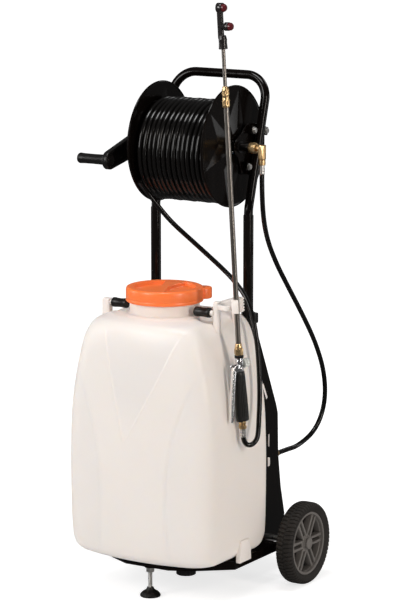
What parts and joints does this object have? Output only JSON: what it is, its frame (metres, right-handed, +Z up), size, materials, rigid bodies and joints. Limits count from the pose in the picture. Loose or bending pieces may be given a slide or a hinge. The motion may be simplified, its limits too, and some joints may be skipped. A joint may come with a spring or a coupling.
{
  "type": "wheeled sprayer cart",
  "caption": "Wheeled battery sprayer cart: white tank with orange filler cap on a steel pan, bent tube handle, crank hose reel, pump housing, and spray gun with telescopic two-nozzle lance.",
  "frame": {"origin": "on the floor, under the middle of the cart's outline without its free hoses", "axes": "+Z up, +X to the cart's right side (the gun's side), +Y to the back (the pump housing's side)"},
  "size_m": [0.556, 0.6687, 1.4386],
  "materials": {
    "tank_shell": "translucent natural polyethylene, satin",
    "white_moulding": "white moulded polyethylene, satin",
    "orange_plastic": "orange moulded plastic, soft gloss",
    "strainer_plastic": "black moulded mesh basket",
    "black_plastic": "black moulded plastic, fine texture",
    "black_frame": "black powder coat, gloss",
    "rubber": "black rubber",
    "hose_black": "black PVC hose, glossy",
    "zinc": "bright zinc-plated steel",
    "brass": "turned brass",
    "chrome": "chrome-plated",
    "gun_plastic": "dark grey moulded grip",
    "knob_plastic": "translucent white plastic",
    "nozzle_body": "black moulded plastic, gloss",
    "nozzle_tip": "dark red moulded plastic",
    "rim_grey": "grey moulded nylon",
    "tyre": "solid rubber tyre",
    "pump_plastic": "black pump housing"
  },
  "bodies": {
    "cart": {"tank": "tank_shell", "strainer": "strainer_plastic", "top_rails": "white_moulding", "lifting_grips": "black_plastic", "tank_side_clips": "white_moulding", "lance_clip": "white_moulding", "base_pan": "black_frame", "foot_lock_nut": "zinc", "uprights": "black_frame", "handle_tube": "black_frame", "frame_collars": "black_plastic", "cheek_plates": "black_frame", "rear_cover": "black_frame", "pump_cover": "black_plastic", "outlet_fitting": "brass", "pump_head": "pump_plastic", "pump_motor": "zinc", "battery_shelf": "black_frame", "battery": "black_plastic", "pump_pipes": "pump_plastic", "reel_brackets": "black_frame", "bracket_clamps": "black_frame", "frame_bolts": "zinc", "reel_bushes": "black_plastic", "swivel_nut": "brass", "swivel_elbow": "brass", "hose_ferrules": "zinc", "feed_hose": "hose_black", "spray_hose": "hose_black", "axle": "zinc", "axle_caps": "black_plastic", "gun_connector": "brass", "gun_grip": "gun_plastic", "valve_body": "chrome", "lance_nut": "brass", "lance_lower_tube": "zinc"},
    "reel": {"reel_shaft": "zinc", "drum_core": "black_frame", "flange_left": "black_frame", "flange_right": "black_frame", "hose_coil": "hose_black", "crank_arm": "black_frame"},
    "crank_knob": {"crank_grip": "black_plastic"},
    "wheel_left": {"rim_left": "rim_grey", "tyre_left": "tyre"},
    "wheel_right": {"rim_right": "rim_grey", "tyre_right": "tyre"},
    "foot": {"foot_stem": "zinc", "foot_pad": "black_plastic"},
    "cap_seal": {"cap_gasket": "rubber"},
    "cap": {"filler_cap": "orange_plastic"},
    "drain": {"drain_cap": "black_plastic"},
    "switch": {"switch_rocker": "black_plastic"},
    "trigger": {"trigger_lever": "chrome"},
    "flow_valve": {"flow_knob": "knob_plastic"},
    "collet": {"lance_collet": "brass"},
    "lance_tip": {"lance_upper_tube": "zinc", "nozzle_head": "nozzle_body"},
    "upper_nozzle": {"nozzle_upper": "nozzle_tip"},
    "lower_nozzle": {"nozzle_lower": "nozzle_tip"}
  },
  "joints": [
    {"name": "wheel_left_spin", "type": "hinge", "parent": "cart", "child": "wheel_left", "pos_m": [-0.256, 0.132, 0.1015], "axis": [1, 0, 0], "continuous": true},
    {"name": "wheel_right_spin", "type": "hinge", "parent": "cart", "child": "wheel_right", "pos_m": [0.256, 0.132, 0.1015], "axis": [1, 0, 0], "continuous": true},
    {"name": "reel_spin", "type": "hinge", "parent": "cart", "child": "reel", "pos_m": [0, 0.054, 1.078], "axis": [1, 0, 0], "continuous": true},
    {"name": "crank_grip_spin", "type": "hinge", "parent": "reel", "child": "crank_knob", "pos_m": [-0.208, -0.092, 1.043], "axis": [1, 0, 0], "continuous": true},
    {"name": "cap_lift", "type": "slide", "parent": "cart", "child": "cap_seal", "axis": [0, 0, 1], "range_m": [0, 0.05]},
    {"name": "cap_turn", "type": "hinge", "parent": "cap_seal", "child": "cap", "pos_m": [0, -0.095, 0.74], "axis": [0, 0, 1], "range_deg": [0, 540]},
    {"name": "drain_cap_turn", "type": "hinge", "parent": "cart", "child": "drain", "pos_m": [0.082, -0.131, 0.07], "axis": [0, 0, -1], "range_deg": [0, 540]},
    {"name": "foot_adjust", "type": "slide", "parent": "cart", "child": "foot", "axis": [0, 0, 1], "range_m": [-0.012, 0]},
    {"name": "switch_rock", "type": "hinge", "parent": "cart", "child": "switch", "pos_m": [-0.06, 0.186, 0.35], "axis": [1, 0, 0], "range_deg": [-8, 8]},
    {"name": "trigger_squeeze", "type": "hinge", "parent": "cart", "child": "trigger", "pos_m": [0.21212, -0.12654, 0.57644], "axis": [0.978, -0.2083, 0.0144], "range_deg": [0, 5], "stiffness_Nm_per_rad": 0.6, "springref_deg": -5.73},
    {"name": "flow_knob_turn", "type": "hinge", "parent": "cart", "child": "flow_valve", "pos_m": [0.21915, -0.09283, 0.58657], "axis": [0.2071, 0.9764, 0.0612], "range_deg": [0, 270]},
    {"name": "collet_turn", "type": "hinge", "parent": "cart", "child": "collet", "pos_m": [0.19898, -0.14366, 1.22039], "axis": [-0.0268, -0.0569, 0.998], "range_deg": [0, 180]},
    {"name": "lance_extend", "type": "slide", "parent": "cart", "child": "lance_tip", "axis": [-0.0268, -0.0569, 0.998], "range_m": [-0.07, 0.22]},
    {"name": "upper_nozzle_turn", "type": "hinge", "parent": "lance_tip", "child": "upper_nozzle", "pos_m": [0.20242, -0.15545, 1.42722], "axis": [0.9996, -0.0008, 0.0268], "range_deg": [0, 270]},
    {"name": "lower_nozzle_turn", "type": "hinge", "parent": "lance_tip", "child": "lower_nozzle", "pos_m": [0.21857, -0.15302, 1.38471], "axis": [0.9996, -0.0008, 0.0268], "range_deg": [0, 270]}
  ]
}
